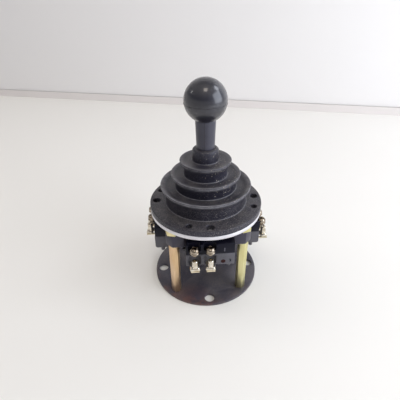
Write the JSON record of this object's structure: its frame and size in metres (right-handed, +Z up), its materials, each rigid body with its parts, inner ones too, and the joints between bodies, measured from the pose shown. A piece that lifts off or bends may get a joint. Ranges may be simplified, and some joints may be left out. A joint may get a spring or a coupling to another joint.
{
  "type": "industrial joystick",
  "caption": "Industrial joystick: ball-topped lever in a stepped rubber boot works radial contact blocks under a round flange, on hexagonal standoffs over a round bottom plate.",
  "frame": {"origin": "centre of the bottom plate's underside, on the lever's axis", "axes": "+Z up along the lever, -Y to the front, where the pictured contact block faces"},
  "size_m": [0.1138, 0.1138, 0.19],
  "materials": {
    "plate_black": "semi-gloss black",
    "screw_steel": "zinc plated",
    "yellow_zinc": "yellow zinc plated",
    "housing_plastic": "moulded, slightly shiny",
    "ring_metal": "machined",
    "boot_rubber": "dull, dusty",
    "gimbal_steel": "turned",
    "shaft_steel": "ground",
    "nylon": "natural nylon",
    "spring_steel": "drawn wire",
    "sleeve_plastic": "moulded",
    "ball_plastic": "polished phenolic",
    "brass": "plain",
    "block_grey": "moulded dark grey",
    "block_black": "moulded black",
    "terminal_plated": "nickel plated",
    "plunger_red": "moulded red-brown"
  },
  "bodies": {
    "base": {"base_plate": "plate_black", "plate_screws": "screw_steel", "hex_spacers": "yellow_zinc", "housing": "housing_plastic", "mounting_ring": "ring_metal", "rubber_boot": "boot_rubber", "gimbal_outer_pins": "gimbal_steel", "return_spring": "spring_steel", "gate_plate": "gimbal_steel", "gate_spacers": "brass", "gate_screws": "screw_steel", "block_screws": "screw_steel", "standoff_front_left": "yellow_zinc", "standoff_front_right": "yellow_zinc", "standoff_rear_right": "yellow_zinc", "standoff_rear_left": "yellow_zinc", "contact_base_front": "block_grey", "contact_cover_front": "block_black", "terminal_strips_front": "brass", "terminal_screws_front": "terminal_plated", "contact_spring_front": "spring_steel", "contact_base_right": "block_grey", "contact_cover_right": "block_black", "terminal_strips_right": "brass", "terminal_screws_right": "terminal_plated", "contact_spring_right": "spring_steel", "contact_base_rear": "block_grey", "contact_cover_rear": "block_black", "terminal_strips_rear": "brass", "terminal_screws_rear": "terminal_plated", "contact_spring_rear": "spring_steel", "contact_base_left": "block_grey", "contact_cover_left": "block_black", "terminal_strips_left": "brass", "terminal_screws_left": "terminal_plated", "contact_spring_left": "spring_steel"},
    "gimbal": {"gimbal_ring": "gimbal_steel"},
    "lever": {"lever_shaft": "shaft_steel", "gimbal_inner_pin": "gimbal_steel", "actuator": "nylon", "actuator_clip": "spring_steel", "lever_sleeve": "sleeve_plastic", "ball_knob": "ball_plastic", "knob_insert": "brass", "lock_nut": "screw_steel", "spring_cup": "gimbal_steel"},
    "plunger_front": {"plunger_front": "plunger_red", "contact_bridge_front": "brass"},
    "plunger_right": {"plunger_right": "plunger_red", "contact_bridge_right": "brass"},
    "plunger_rear": {"plunger_rear": "plunger_red", "contact_bridge_rear": "brass"},
    "plunger_left": {"plunger_left": "plunger_red", "contact_bridge_left": "brass"}
  },
  "joints": [
    {"name": "tilt_front_rear", "type": "hinge", "parent": "base", "child": "gimbal", "pos_m": [0, 0, 0.068], "axis": [1, 0, 0], "range_deg": [-15, 15], "stiffness_Nm_per_rad": 3, "deforming": ["rubber_boot", "return_spring"]},
    {"name": "tilt_left_right", "type": "hinge", "parent": "gimbal", "child": "lever", "pos_m": [0, 0, 0.068], "axis": [0, 1, 0], "range_deg": [-15, 15], "stiffness_Nm_per_rad": 3, "deforming": ["rubber_boot", "return_spring"]},
    {"name": "plunger_front_slide", "type": "slide", "parent": "base", "child": "plunger_front", "axis": [0, 1, 0], "range_m": [-0.004, 0.004], "deforming": ["contact_spring_front"]},
    {"name": "plunger_rear_slide", "type": "slide", "parent": "base", "child": "plunger_rear", "axis": [0, 1, 0], "range_m": [-0.004, 0.004], "deforming": ["contact_spring_rear"]},
    {"name": "plunger_right_slide", "type": "slide", "parent": "base", "child": "plunger_right", "axis": [1, 0, 0], "range_m": [-0.004, 0.004], "deforming": ["contact_spring_right"]},
    {"name": "plunger_left_slide", "type": "slide", "parent": "base", "child": "plunger_left", "axis": [1, 0, 0], "range_m": [-0.004, 0.004], "deforming": ["contact_spring_left"]}
  ],
  "couplings": [
    {"joint": "plunger_front_slide", "follows": "tilt_front_rear", "m_per_rad": 0.015},
    {"joint": "plunger_rear_slide", "follows": "tilt_front_rear", "m_per_rad": 0.015},
    {"joint": "plunger_right_slide", "follows": "tilt_left_right", "m_per_rad": -0.015},
    {"joint": "plunger_left_slide", "follows": "tilt_left_right", "m_per_rad": -0.015}
  ]
}
